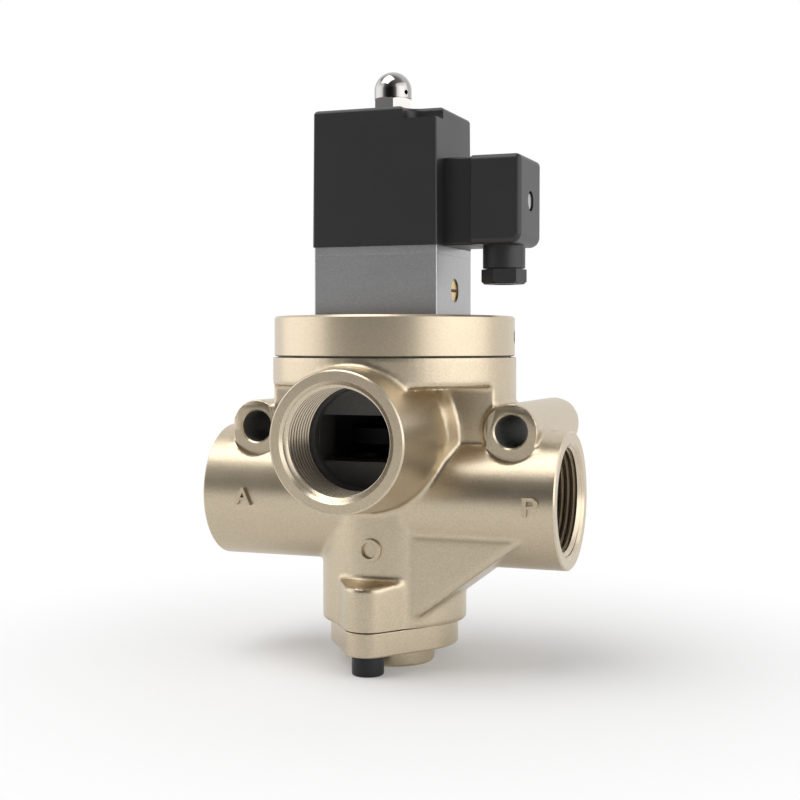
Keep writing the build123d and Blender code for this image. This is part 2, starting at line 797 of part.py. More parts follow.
def cap_seal():
    """Ring between the coil and the cap nut."""
    low = coil_top - cap_seal_thickness
    return ring(cap_seal_radius, stud_radius + loose_clearance, low, coil_top, pilot_x)


def cap_nut():
    """Domed hexagon nut with a vent hole in its dome."""
    hex_top = coil_top + cap_hex_height
    corner = cap_nut_flats / 2 / cos(radians(30))
    dome_start = coil_top + cap_nut_height - cap_dome_radius
    nut = hexagon(cap_nut_flats, coil_top, hex_top, pilot_x, 0, cap_nut_turn)
    slope = (corner - cap_nut_flats / 2) * tan(radians(30))
    nut &= turned([
        (0, coil_top), (corner, coil_top), (corner, hex_top - slope),
        (cap_nut_flats / 2, hex_top), (0, hex_top),
    ], pilot_x)
    nut += upright(cap_dome_radius, hex_top, dome_start, pilot_x)
    dome = Pos(pilot_x, 0, dome_start) * Sphere(cap_dome_radius)
    nut += dome & upright(cap_dome_radius + 1, dome_start, coil_top + cap_nut_height, pilot_x)
    nut -= upright(stud_radius + thread_clearance, coil_top, coil_top + cap_bore_depth, pilot_x)
    vent = along_x(vent_radius, 0, cap_dome_radius + 1, 0, coil_top + vent_height)
    return nut - Pos(pilot_x, 0, 0) * Rot(0, 0, vent_angle) * vent


def plug_gasket():
    """Flat gasket between the connector base and the plug."""
    high = plate_top + base_height
    gasket = slab(base_face_x, plug_back_x, -base_half_width, base_half_width, plate_top, high)
    gasket -= along_x(plug_screw_radius + bolt_clearance, base_face_x, plug_back_x, 0, plug_screw_z)
    for blade in blade_boxes(base_face_x, plug_back_x, blade_slot_margin):
        gasket -= blade
    return gasket


def plug_housing():
    """Square plug housing, open at its back, with the threaded sleeve of the cable gland."""
    low = plate_top
    high = plate_top + plug_height
    housing = slab(plug_back_x, plug_face_x, -plug_half_width, plug_half_width, low, high)
    outer_low = housing.edges().filter_by(Axis.Y).sort_by(lambda e: e.center().X - e.center().Z)[-1]
    housing = fillet(outer_low, plug_low_corner)
    outer_high = housing.edges().filter_by(Axis.Y).sort_by(lambda e: e.center().X + e.center().Z)[-1]
    long_edges = housing.edges().filter_by(Axis.X)
    housing = fillet(long_edges + [outer_high], plug_corner)
    housing += upright(sleeve_radius, sleeve_low, low + plug_wall, gland_x)
    cavity_end = plug_face_x - plug_front_wall
    inside = plug_half_width - plug_wall
    housing -= slab(plug_back_x, cavity_end, -inside, inside, low + plug_wall, high - plug_wall)
    housing -= upright(gland_throat_radius, sleeve_low, low + plug_wall, gland_x)
    housing -= upright(sleeve_bore_radius, sleeve_low, low, gland_x)
    housing -= along_x(plug_screw_radius + bolt_clearance, cavity_end, plug_face_x, 0, plug_screw_z)
    recess_end = plug_face_x - plug_screw_recess
    return housing - along_x(plug_screw_recess_radius, recess_end, plug_face_x, 0, plug_screw_z)


def plug_insert():
    """Terminal block inside the plug, with slots for the contacts."""
    inside = plug_half_width - plug_wall - insert_clearance
    low = plate_top + plug_wall + insert_clearance
    high = plate_top + plug_height - plug_wall - insert_clearance
    block = slab(plug_back_x, plug_back_x + insert_length, -inside, inside, low, high)
    block -= upright(gland_throat_radius, low, plug_screw_z - blade_width, gland_x)
    screw_bore = plug_screw_radius + bolt_clearance
    block -= along_x(screw_bore, plug_back_x, plug_back_x + insert_length, 0, plug_screw_z)
    for slot in blade_boxes(plug_back_x, base_face_x + blade_length + 1, blade_slot_margin):
        block -= slot
    return block


def plug_screw():
    """Long slotted screw that holds the plug on the coil."""
    seat = plug_face_x - plug_screw_recess
    tip = base_face_x - plug_screw_grip + bolt_clearance
    screw = along_x(plug_screw_radius - thread_clearance, tip, seat, 0, plug_screw_z)
    head_end = seat + plug_screw_recess - plug_screw_sunk
    screw += along_x(plug_screw_head_radius, seat, head_end, 0, plug_screw_z)
    half = plug_screw_slot_width / 2
    reach = plug_screw_head_radius + 1
    slot_floor = head_end - plug_screw_slot_depth
    return screw - slab(slot_floor, head_end, -half, half, plug_screw_z - reach, plug_screw_z + reach)


def gland_nut():
    """Hexagon nut of the cable gland, screwed up into the plug's sleeve."""
    corner = gland_hex_flats / 2 / cos(radians(30))
    nut = hexagon(gland_hex_flats, gland_hex_low, gland_hex_top, gland_x, 0, gland_hex_turn)
    nut &= turned([
        (0, gland_hex_low), (corner - gland_hex_edge, gland_hex_low),
        (corner, gland_hex_low + gland_hex_edge), (corner, gland_hex_top), (0, gland_hex_top),
    ], gland_x)
    spigot_top = gland_hex_top + gland_spigot_length
    nut += upright(sleeve_bore_radius - loose_clearance, gland_hex_top, spigot_top, gland_x)
    return nut - upright(gland_bore_radius, gland_hex_low, spigot_top, gland_x)


def gland_washer():
    """Thin washer between the gland nut and its seal."""
    outer = sleeve_bore_radius - loose_clearance
    low = gland_hex_top + gland_spigot_length
    return ring(outer, gland_washer_bore_radius, low, low + gland_washer_thickness, gland_x)


def gland_seal():
    """Rubber ring that grips the cable."""
    outer = sleeve_bore_radius - loose_clearance
    low = gland_hex_top + gland_spigot_length + gland_washer_thickness
    return ring(outer, gland_seal_bore_radius, low, plate_top, gland_x)


def guide_bush():
    """Flanged bush that guides the stem above the exhaust chamber."""
    groove_low = (exhaust_ceiling + piston_floor - stem_seal_thickness) / 2
    groove_top = groove_low + stem_seal_thickness
    inner = stem_radius + running_clearance
    return turned([
        (inner, exhaust_ceiling), (bush_radius, exhaust_ceiling),
        (bush_radius, piston_floor - bush_flange_thickness),
        (bush_flange_radius, piston_floor - bush_flange_thickness), (bush_flange_radius, piston_floor),
        (inner, piston_floor), (inner, groove_top), (stem_seal_radius, groove_top),
        (stem_seal_radius, groove_low), (inner, groove_low),
    ])


def stem_seal():
    """Ring in the bush's groove, round the stem."""
    middle = (exhaust_ceiling + piston_floor) / 2
    half = stem_seal_thickness / 2 - loose_clearance
    outer = stem_seal_radius - loose_clearance
    return ring(outer, stem_radius + running_clearance, middle - half, middle + half)


def upper_seat():
    """Seat ring of the exhaust, with its lip upwards."""
    low = seat_step_z - upper_seat_thickness
    return turned([
        (seat_bore_radius, low), (upper_seat_radius, low), (upper_seat_radius, seat_step_z),
        (seat_bore_radius + seat_lip_width, seat_step_z), (seat_bore_radius + seat_lip_width, upper_seat_z),
        (seat_bore_radius, upper_seat_z),
    ])


def lower_seat():
    """Seat ring of the inlet, with its lip downwards."""
    ring_low = lower_seat_z + seat_lip_height
    return turned([
        (seat_bore_radius, lower_seat_z), (seat_bore_radius + seat_lip_width, lower_seat_z),
        (seat_bore_radius + seat_lip_width, ring_low), (inlet_chamber_radius, ring_low),
        (inlet_chamber_radius, lower_seat_top), (seat_bore_radius, lower_seat_top),
    ])


def stem():
    """Turned stem with a collar above the exhaust poppet."""
    thread_low = lower_disc_low - poppet_nut_height - stem_tail
    thread_high = piston_top + piston_nut_height + stem_tip
    collar_top = stem_collar_low + stem_collar_thickness
    return turned([
        (0, thread_low), (stem_radius, thread_low), (stem_radius, stem_collar_low),
        (stem_collar_radius, stem_collar_low), (stem_collar_radius, collar_top),
        (stem_radius, collar_top), (stem_radius, piston_low),
        (stem_thread_radius, piston_low), (stem_thread_radius, thread_high), (0, thread_high),
    ])


def poppet_ring(low, high, outer=poppet_radius):
    """Ring that is clamped on the stem."""
    return ring(outer, stem_radius + thread_clearance, low, high)


def upper_poppet():
    """Metal disc behind the exhaust poppet's facing."""
    return poppet_ring(upper_disc_low, stem_collar_low)


def upper_facing():
    """Rubber facing that closes the exhaust seat."""
    return poppet_ring(upper_facing_low, upper_disc_low)


def poppet_spacer():
    """Sleeve that sets the two poppets apart."""
    return poppet_ring(lower_facing_top, upper_facing_low, spacer_radius)


def lower_facing():
    """Rubber facing that closes the inlet seat."""
    return poppet_ring(lower_disc_top, lower_facing_top)


def lower_poppet():
    """Metal disc behind the inlet poppet's facing."""
    return poppet_ring(lower_disc_low, lower_disc_top)


def poppet_nut():
    """Hexagon nut that clamps the poppets on the stem."""
    nut = hexagon(poppet_nut_flats, lower_disc_low - poppet_nut_height, lower_disc_low)
    return nut - upright(stem_radius + thread_clearance, lower_disc_low - poppet_nut_height, lower_disc_low)


def piston():
    """Piston disc with its seal groove."""
    outer = piston_radius - running_clearance
    middle = (piston_low + piston_top) / 2
    half = piston_seal_width / 2
    return turned([
        (stem_thread_radius + thread_clearance, piston_low), (outer, piston_low), (outer, middle - half),
        (outer - piston_seal_depth, middle - half), (outer - piston_seal_depth, middle + half),
        (outer, middle + half), (outer, piston_top), (stem_thread_radius + thread_clearance, piston_top),
    ])


def piston_seal():
    """Seal ring in the piston's groove."""
    outer = piston_radius - running_clearance
    middle = (piston_low + piston_top) / 2
    half = piston_seal_width / 2 - loose_clearance
    return ring(outer, outer - piston_seal_depth + loose_clearance, middle - half, middle + half)


def piston_nut():
    """Hexagon nut that holds the piston on the stem."""
    nut = hexagon(piston_nut_flats, piston_top, piston_top + piston_nut_height)
    return nut - upright(stem_thread_radius + thread_clearance, piston_top, piston_top + piston_nut_height)


def return_spring():
    """Spring under the inlet poppet, seated in the bottom cover's pocket."""
    return spring(spring_radius, spring_wire_width, spring_wire_height, spring_turns,
                  spring_pocket_floor, lower_disc_low)


def bottom_cover():
    """Cover under the foot, with the boss that holds the return spring."""
    plate = lug_plate(foot_radius - bottom_margin, foot_lug_radius - bottom_margin, boss_stand, body_low)
    low_edges = plate.faces().sort_by(Axis.Z)[0].outer_wire().edges()
    plate = fillet(low_edges, bottom_cover_edge)
    plate += turned([
        (0, 0), (boss_radius - boss_edge, 0), (boss_radius, boss_edge),
        (boss_radius, body_low), (0, body_low),
    ])
    plate -= upright(spring_pocket_radius, spring_pocket_floor, body_low)
    outer = bottom_seal_radius + bottom_seal_width / 2
    plate -= ring(outer, outer - bottom_seal_width, body_low - bottom_seal_depth, body_low)
    for side in (-1, 1):
        plate -= upright(bolt_radius + bolt_clearance, boss_stand, body_low, 0, side * bolt_offset)
    return plate


def bottom_seal():
    """Flat ring between the foot and the bottom cover."""
    half = bottom_seal_width / 2 - loose_clearance
    low = body_low - bottom_seal_depth
    return ring(bottom_seal_radius + half, bottom_seal_radius - half, low, body_low)


def bottom_bolts():
    """Two socket bolts that hold the bottom cover, their heads level with the boss."""
    length = bottom_cover_thickness + bolt_depth - bolt_clearance
    bolt = socket_screw(bolt_head_radius, boss_stand, bolt_radius, length,
                        bolt_socket_flats, bolt_socket_depth)
    return [Pos(0, side * bolt_offset, boss_stand) * Rot(180, 0, 0) * bolt for side in (-1, 1)]


pieces = [
    body, top_cover, cover_seal, cover_screws, cover_set_screw,
    pilot_block, block_seal, block_screws, coil_plate, nozzle, override_screw, override_seal,
    armature_tube, plunger, plunger_seal, plunger_spring, coil, contact_blades, cap_seal, cap_nut,
    plug_gasket, plug_housing, plug_insert, plug_screw, gland_nut, gland_washer, gland_seal,
    guide_bush, stem_seal, upper_seat, lower_seat,
    stem, upper_poppet, upper_facing, poppet_spacer, lower_facing, lower_poppet, poppet_nut,
    piston, piston_seal, piston_nut, return_spring,
    bottom_cover, bottom_seal, bottom_bolts,
]

os.makedirs("parts", exist_ok=True)
for piece in pieces:
    made = piece()
    shape = Compound(children=made) if isinstance(made, list) else made
    export_step(shape, os.path.join("parts", piece.__name__ + ".step"))
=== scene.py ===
import bpy
import json
import math
from mathutils import Matrix, Vector

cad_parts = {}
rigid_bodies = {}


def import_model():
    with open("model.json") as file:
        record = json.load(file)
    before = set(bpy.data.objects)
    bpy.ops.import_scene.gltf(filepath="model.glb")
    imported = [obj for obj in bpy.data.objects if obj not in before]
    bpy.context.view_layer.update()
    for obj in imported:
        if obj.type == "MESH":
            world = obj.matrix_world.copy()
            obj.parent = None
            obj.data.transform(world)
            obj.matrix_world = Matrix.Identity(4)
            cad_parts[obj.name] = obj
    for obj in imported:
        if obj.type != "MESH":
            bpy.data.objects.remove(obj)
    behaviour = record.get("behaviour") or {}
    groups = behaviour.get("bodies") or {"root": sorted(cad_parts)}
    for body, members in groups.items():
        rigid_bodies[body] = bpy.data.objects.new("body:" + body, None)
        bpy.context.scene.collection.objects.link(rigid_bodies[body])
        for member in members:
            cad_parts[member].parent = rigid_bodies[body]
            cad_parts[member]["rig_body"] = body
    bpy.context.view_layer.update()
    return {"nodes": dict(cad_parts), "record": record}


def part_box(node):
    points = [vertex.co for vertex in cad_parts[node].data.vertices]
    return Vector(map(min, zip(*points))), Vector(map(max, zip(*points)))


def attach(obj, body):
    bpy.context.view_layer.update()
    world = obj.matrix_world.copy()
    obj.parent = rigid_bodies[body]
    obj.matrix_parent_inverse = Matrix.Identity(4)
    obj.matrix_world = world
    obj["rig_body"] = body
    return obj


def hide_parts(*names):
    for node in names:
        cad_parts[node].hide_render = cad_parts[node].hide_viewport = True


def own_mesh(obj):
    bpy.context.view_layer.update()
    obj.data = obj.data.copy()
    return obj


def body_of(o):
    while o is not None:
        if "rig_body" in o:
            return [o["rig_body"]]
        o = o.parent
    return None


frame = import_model()

# Frame: the imported valve, in metres. Sizes below are
# in millimetres times MM, and what the record states, such as the ports, is read from it.
MM = 0.001
nodes = frame["nodes"]
mounts = {mount["name"]: mount for mount in frame["record"]["mounts"]}
bpy.ops.object.select_all(action="DESELECT")


# Body casting: one sand casting in aluminium, faced and coated, and then bored. A piston barrel stands on
# a column, with the line tube across it, the exhaust tube in front, two mounting bosses and a bolted foot.
# Its parts are laid out as cast, grown together with soft blends, and then cut in the same order.
TURNS = {"X": (0, math.pi / 2, 0), "Y": (-math.pi / 2, 0, 0), "Z": (0, 0, 0)}


def bar(radius, low, high, axis="Z", centre=(0, 0), end_radius=None, sides=96):
    """Round bar or cone between two places along an axis; centre is its place on the other two axes."""
    middle = (low + high) / 2
    place = {"X": (middle, *centre), "Y": (centre[0], middle, centre[1]), "Z": (*centre, middle)}[axis]
    bpy.ops.mesh.primitive_cone_add(
        vertices=sides, radius1=radius * MM, radius2=(end_radius or radius) * MM, depth=(high - low) * MM,
        location=[c * MM for c in place], rotation=TURNS[axis])
    made = bpy.context.object
    bpy.ops.object.transform_apply(location=True, rotation=True, scale=True)
    return made


def block(low, high):
    """Rectangular block between two corners."""
    bpy.ops.mesh.primitive_cube_add(size=1, location=[(a + b) / 2 * MM for a, b in zip(low, high)])
    made = bpy.context.object
    made.scale = [(b - a) * MM for a, b in zip(low, high)]
    bpy.ops.object.transform_apply(location=True, rotation=True, scale=True)
    return made


def chosen(target):
    """Selects one object alone and makes it the active one."""
    bpy.ops.object.select_all(action="DESELECT")
    target.select_set(True)
    bpy.context.view_layer.objects.active = target


def joined(objects):
    """One object from several, with their meshes laid together."""
    bpy.ops.object.select_all(action="DESELECT")
    for one in objects:
        one.select_set(True)
    bpy.context.view_layer.objects.active = objects[0]
    bpy.ops.object.join()
    return objects[0]


def modified(target, kind, **settings):
    """Adds one modifier with its settings and applies it."""
    chosen(target)
    modifier = target.modifiers.new(kind.lower(), kind)
    for name, value in settings.items():
        setattr(modifier, name, value)
    bpy.ops.object.modifier_apply(modifier=modifier.name)
    return target


def cut(target, tool):
    """Cuts a tool out of an object and uses the tool up."""
    modified(target, "BOOLEAN", object=tool, operation="DIFFERENCE", solver="EXACT")
    bpy.data.objects.remove(tool)
    return target


def sliced(target, place, normal):
    """Cuts away what lies beyond a plane and closes the cut."""
    chosen(target)
    bpy.ops.object.mode_set(mode="EDIT")
    bpy.ops.mesh.select_all(action="SELECT")
    bpy.ops.mesh.bisect(plane_co=[c * MM for c in place], plane_no=normal, use_fill=True, clear_outer=True)
    bpy.ops.object.mode_set(mode="OBJECT")
    return target


def hulled(objects):
    """Convex hull round several objects, as a plate drawn out to lugs."""
    target = joined(objects)
    bpy.ops.object.mode_set(mode="EDIT")
    bpy.ops.mesh.select_all(action="SELECT")
    bpy.ops.mesh.convex_hull()
    bpy.ops.object.mode_set(mode="OBJECT")
    return target


def prism(outline, half_width):
    """Extrudes an outline of X and Z to both sides along Y."""
    bpy.ops.mesh.primitive_circle_add(vertices=len(outline), fill_type="NGON")
    made = bpy.context.object
    for vertex, (x, z) in zip(made.data.vertices, outline):
        vertex.co = (x * MM, -half_width * MM, z * MM)
    bpy.ops.object.mode_set(mode="EDIT")
    bpy.ops.mesh.select_all(action="SELECT")
    bpy.ops.mesh.extrude_region_move(TRANSFORM_OT_translate={"value": (0, 2 * half_width * MM, 0)})
    bpy.ops.mesh.select_all(action="SELECT")
    bpy.ops.mesh.normals_make_consistent(inside=False)
    bpy.ops.object.mode_set(mode="OBJECT")
    bpy.ops.object.transform_apply(location=True, rotation=True, scale=True)
    return made


line_z = mounts["port_p"]["pos_m"][2] / MM
exhaust_z = mounts["port_o"]["pos_m"][2] / MM
boss_x = mounts["mounting_holes"]["dims"]["spacing_x_mm"] / 2
boss_z = mounts["mounting_holes"]["pos_m"][2] / MM
body_low, body_high = (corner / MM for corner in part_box("body"))
line_reach = body_high.x
exhaust_reach = -body_low.y
boss_back = body_high.y
floor_z = body_low.z
seam_z = body_high.z
BARREL, RIM_DROP = 47.6, 11.2
SHOULDER_FRONT, SHOULDER_LOW = -15.8, seam_z - 37.6
LINE_TUBE, EXHAUST_TUBE, EXHAUST_ROOT = 26.35, 25.9, 29.9
FLARE_START, FLARE_END, FLARE_REACH = EXHAUST_ROOT - 0.6, 33, 6.0
COLUMN, FOOT, SOLE_TOP = 28.3, 25.4, 8
LUG, LUG_OFFSET, LUG_TOP, LUG_SLOPE = 9.0, 28.6, 18.9, 2.0
WEDGE_WIDTH, WEDGE_REACH, WEDGE_DROP, WEDGE_TIP = 23.6, 58.3, 13.5, (19.4, 5.6)
BOSS, BOSS_HOLE, BOSS_STAND = 10.4, 6.2, 1.2
SPOT_MARGIN, SPOT_RUN = 0.9, 5
FACING, OVERRUN, FOOT_STOCK = 0.5, 2, 3
VOXEL, FINE_SIDES, SMALL_SIDES = 0.88, 128, 64

barrel = bar(BARREL, seam_z - RIM_DROP, seam_z + FACING)
shoulder = sliced(bar(BARREL, SHOULDER_LOW, seam_z - RIM_DROP + OVERRUN), (0, SHOULDER_FRONT, 0), (0, -1, 0))
line_tube = bar(LINE_TUBE, -line_reach - 3 * FACING, line_reach + 3 * FACING, "X", (0, line_z))
for side in (-1, 1):
    spot = bar(BOSS + SPOT_MARGIN, -LINE_TUBE - SPOT_RUN, SHOULDER_FRONT, "Y", (side * boss_x, boss_z))
    line_tube = cut(line_tube, spot)
exhaust_tube = bar(EXHAUST_TUBE, -exhaust_reach - 4 * FACING, 0, "Y", (0, exhaust_z), EXHAUST_ROOT)
flare = bar(FLARE_START, SHOULDER_FRONT - FLARE_REACH, SHOULDER_FRONT + OVERRUN, "Y", (0, exhaust_z),
            FLARE_END)
column = bar(COLUMN, floor_z, exhaust_z)
sole = bar(FOOT, floor_z - FOOT_STOCK, floor_z + SOLE_TOP)
lugs = [bar(LUG, floor_z - FOOT_STOCK, floor_z + LUG_TOP - LUG_SLOPE, "Z", (0, side * LUG_OFFSET))
        for side in (-1, 1)]
foot = hulled([bar(FOOT, floor_z - FOOT_STOCK, floor_z + LUG_TOP)] + lugs)
wedge_top = line_z - WEDGE_DROP
wedge_low = floor_z + WEDGE_TIP[1]
wedge = prism([(0, wedge_low), (WEDGE_TIP[0], wedge_low), (WEDGE_REACH, wedge_top), (0, wedge_top)],
              WEDGE_WIDTH)
boss_front = SHOULDER_FRONT - BOSS_STAND
bosses = [bar(BOSS, boss_front - FACING, boss_back + FACING, "Y", (side * boss_x, boss_z), sides=SMALL_SIDES)
          for side in (-1, 1)]
body = joined([barrel, shoulder, line_tube, exhaust_tube, flare, column, sole, foot, wedge] + bosses)
body.name = "body_casting"
modified(body, "REMESH", mode="VOXEL", voxel_size=VOXEL * MM)
modified(body, "SMOOTH", factor=0.5, iterations=6)
for axis, level, way in (("Z", seam_z, 1), ("Z", floor_z, -1), ("X", line_reach, 1), ("X", -line_reach, -1),
                         ("Y", -exhaust_reach, -1), ("Y", boss_back, 1)):
    sliced(body, [level * (axis == a) for a in "XYZ"], [way * (axis == a) for a in "XYZ"])


def group_sockets(group, inputs, outputs):
    """Names the inputs, as (name, type, value), and the outputs, as (name, type), of a node group."""
    for name, kind, value in inputs:
        made = group.interface.new_socket(name, in_out="INPUT", socket_type=kind)
        if value is not None:
            made.default_value = value
    for name, kind in outputs:
        group.interface.new_socket(name, in_out="OUTPUT", socket_type=kind)
    return group.nodes.new("NodeGroupInput"), group.nodes.new("NodeGroupOutput")


surface_grain = bpy.data.node_groups.new("surface_grain", "ShaderNodeTree")
grain_in, grain_out = group_sockets(
    surface_grain,
    [("Vector", "NodeSocketVector", None), ("Grain Scale", "NodeSocketFloat", 1500.0),
     ("Patch Scale", "NodeSocketFloat", 40.0)],
    [("Height", "NodeSocketFloat"), ("Fleck", "NodeSocketFloat"), ("Patch", "NodeSocketFloat")])
for label, scale_from, detail, out in (("fine", "Grain Scale", 3.0, "Height"),
                                       ("broad", "Patch Scale", 4.0, "Patch")):
    noise = surface_grain.nodes.new("ShaderNodeTexNoise")
    noise.name = label
    noise.inputs["Detail"].default_value = detail
    surface_grain.links.new(grain_in.outputs["Vector"], noise.inputs["Vector"])
    surface_grain.links.new(grain_in.outputs[scale_from], noise.inputs["Scale"])
    surface_grain.links.new(noise.outputs["Fac"], grain_out.inputs[out])
fleck = surface_grain.nodes.new("ShaderNodeTexVoronoi")
surface_grain.links.new(grain_in.outputs["Vector"], fleck.inputs["Vector"])
surface_grain.links.new(grain_in.outputs["Grain Scale"], fleck.inputs["Scale"])
fleck_value = surface_grain.nodes.new("ShaderNodeSeparateColor")
surface_grain.links.new(fleck.outputs["Color"], fleck_value.inputs["Color"])
surface_grain.links.new(fleck_value.outputs["Red"], grain_out.inputs["Fleck"])


def finish_material(name, colour, metallic, roughness, grain=1500.0, bump=0.1, depth=0.03, fleck=0.0,
                    patch=40.0, patch_tone=0.06, patch_rough=0.05):
    """Principled material whose tone, roughness and relief vary by the shared grain group."""
    material = bpy.data.materials.new(name)
    material.use_nodes = True
    tree = material.node_tree
    shader = tree.nodes["Principled BSDF"]
    shader.inputs["Metallic"].default_value = metallic
    place = tree.nodes.new("ShaderNodeTexCoord")
    grain_node = tree.nodes.new("ShaderNodeGroup")
    grain_node.node_tree = surface_grain
    grain_node.inputs["Grain Scale"].default_value = grain
    grain_node.inputs["Patch Scale"].default_value = patch
    tree.links.new(place.outputs["Object"], grain_node.inputs["Vector"])

    tone = tree.nodes.new("ShaderNodeMix")
    tone.data_type = "RGBA"
    tone.inputs["A"].default_value = (*[c * (1 - patch_tone) for c in colour], 1)
    tone.inputs["B"].default_value = (*[c * (1 + patch_tone) for c in colour], 1)
    tree.links.new(grain_node.outputs["Patch"], tone.inputs["Factor"])
    flecked = tree.nodes.new("ShaderNodeHueSaturation")
    value = tree.nodes.new("ShaderNodeMapRange")
    value.inputs["To Min"].default_value = 1 - fleck
    value.inputs["To Max"].default_value = 1 + fleck
    tree.links.new(grain_node.outputs["Fleck"], value.inputs["Value"])
    tree.links.new(value.outputs["Result"], flecked.inputs["Value"])
    tree.links.new(tone.outputs["Result"], flecked.inputs["Color"])
    tree.links.new(flecked.outputs["Color"], shader.inputs["Base Color"])

    rough = tree.nodes.new("ShaderNodeMapRange")
    rough.inputs["To Min"].default_value = roughness - patch_rough
    rough.inputs["To Max"].default_value = roughness + patch_rough
    tree.links.new(grain_node.outputs["Patch"], rough.inputs["Value"])
    tree.links.new(rough.outputs["Result"], shader.inputs["Roughness"])

    relief = tree.nodes.new("ShaderNodeBump")
    relief.inputs["Strength"].default_value = bump
    relief.inputs["Distance"].default_value = depth * MM
    tree.links.new(grain_node.outputs["Height"], relief.inputs["Height"])
    tree.links.new(relief.outputs["Normal"], shader.inputs["Normal"])
    return material


PAINT = (0.565, 0.478, 0.350)
cast_paint = finish_material(
    "champagne_coat_on_casting", PAINT, 0.92, 0.31, grain=2600, bump=0.75, depth=0.04, fleck=0.08,
    patch=60, patch_tone=0.03, patch_rough=0.03)
machined_metal = finish_material(
    "bare_machined_aluminium", (0.62, 0.53, 0.40), 0.75, 0.24, grain=2500, bump=0.15, depth=0.02, fleck=0.04)
# Dark grey for the bores, chambers, undercuts and the seam and foot gaps is painted shade in these recesses,
# not the metal's own colour.
recess_painted_shade = finish_material(
    "painted_shade_in_bores", (0.17, 0.165, 0.15), 0.3, 0.55, grain=2000, bump=0.4, depth=0.04, fleck=0.10)
# The thread bore at the root is painted near black as painted shade in the thread roots.
thread_root_painted_shade = finish_material(
    "painted_shade_thread_root", (0.060, 0.053, 0.042), 0.6, 0.45, grain=2500, bump=0.15, depth=0.02)
body.data.materials.append(cast_paint)

THREAD_ROOT = mounts["port_p"]["dims"]["r_mm"]
THREAD_DEPTH, CHAMFER, RIM_CHAMFER, RIM_MARGIN = 22.5, 1.1, 0.55, 3
UNDERCUT, UNDERCUT_WIDTH, PORT_BORE, PORT_DEPTH = 21.3, 1.8, 18.7, 28.4
OVERLAP = 0.01
PISTON_BORE, PISTON_DEPTH, BUSH, BUSH_SEAT, BUSH_DEPTH = 34.0, 8.6, 7.05, 10.05, 10.2
CHAMBER, CHAMBER_BELOW, CHAMBER_ABOVE = 25.0, 9, 8.4
OUTLET, OUTLET_BELOW, OUTLET_ABOVE = 24.0, 6.3, 7.7
SEAT_BORE, SEAT_BELOW, SEAT_TOP, INLET = 19.0, 9.3, 8, 20.5


def port_cutters(axis, face, way, centre, rim):
    """Chamfers, thread bore, undercut and inner bore of one port whose face looks along an axis."""
    # Only the chamfers are bare machined metal; the thread bore, undercut and inner bore are painted dark as
    # painted shade.
    steps = [(-OVERRUN, CHAMFER, THREAD_ROOT + CHAMFER + OVERRUN, THREAD_ROOT, machined_metal),
             (-OVERRUN / 2, THREAD_DEPTH, THREAD_ROOT, THREAD_ROOT, thread_root_painted_shade),
             (THREAD_DEPTH - OVERLAP, THREAD_DEPTH + UNDERCUT_WIDTH, UNDERCUT, UNDERCUT, recess_painted_shade),
             (THREAD_DEPTH, PORT_DEPTH, PORT_BORE, PORT_BORE, recess_painted_shade)]
    made = []
    for start, end, outer, inner, material in steps:
        low, high = sorted((face - way * start, face - way * end))
        ends = (inner, outer) if way > 0 else (outer, inner)
        made.append((bar(ends[0], low, high, axis, centre, ends[1], FINE_SIDES), material))
    low, high = sorted((face - way * RIM_CHAMFER, face + way * RIM_CHAMFER))
    ends = (rim, rim - 2 * RIM_CHAMFER) if way > 0 else (rim - 2 * RIM_CHAMFER, rim)
    ring = bar(rim + RIM_MARGIN, low, high, axis, centre, None, FINE_SIDES)
    cone = bar(ends[0], low - OVERLAP, high + OVERLAP, axis, centre, ends[1], FINE_SIDES)
    return made + [(cut(ring, cone), machined_metal)]


DUCT_WALL, DUCT_HALF_WIDTH, DUCT_RISE = 4.0, 16, 14
DUCT_NEAR, DUCT_MIDDLE, DUCT_FAR = 16.5, 28.0, 43.6
DUCT_NEAR_DROP, DUCT_MIDDLE_DROP = 16.3, 13.3
EXHAUST_HALF_WIDTH, EXHAUST_FRONT = 18.4, -32.1
duct_slope = (wedge_top - wedge_low) / (WEDGE_REACH - WEDGE_TIP[0])
duct_lift = DUCT_WALL * math.hypot(1, duct_slope)
duct_outline = [(DUCT_FAR, wedge_low + (DUCT_FAR - WEDGE_TIP[0]) * duct_slope + duct_lift),
                (DUCT_FAR, line_z + DUCT_RISE),
                (DUCT_MIDDLE, line_z - DUCT_MIDDLE_DROP),
                (DUCT_NEAR, line_z - DUCT_NEAR_DROP),
                (DUCT_NEAR, wedge_low + (DUCT_NEAR - WEDGE_TIP[0]) * duct_slope + duct_lift)]
cutters = port_cutters("X", line_reach, 1, (0, line_z), LINE_TUBE)
cutters += port_cutters("X", -line_reach, -1, (0, line_z), LINE_TUBE)
cutters += port_cutters("Y", -exhaust_reach, -1, (0, exhaust_z), EXHAUST_TUBE)
cores = [
    bar(PISTON_BORE, seam_z - PISTON_DEPTH, seam_z + OVERRUN),
    bar(BUSH_SEAT, seam_z - BUSH_DEPTH, seam_z),
    bar(BUSH, exhaust_z, seam_z),
    bar(CHAMBER, exhaust_z - CHAMBER_BELOW, exhaust_z + CHAMBER_ABOVE),
    bar(SEAT_BORE, line_z - SEAT_BELOW, exhaust_z - SEAT_TOP),
    bar(OUTLET, line_z - OUTLET_BELOW, line_z + OUTLET_ABOVE),
    bar(INLET, floor_z - OVERRUN, line_z - SEAT_BELOW),
    prism(duct_outline, DUCT_HALF_WIDTH),
    block((-DUCT_FAR, -DUCT_HALF_WIDTH, line_z - OUTLET_BELOW), (0, DUCT_HALF_WIDTH, line_z + OUTLET_ABOVE)),
    block((-EXHAUST_HALF_WIDTH, EXHAUST_FRONT, exhaust_z - CHAMBER_BELOW),
          (EXHAUST_HALF_WIDTH, 0, exhaust_z + CHAMBER_ABOVE))]
BOSS_CHAMFER = 0.6
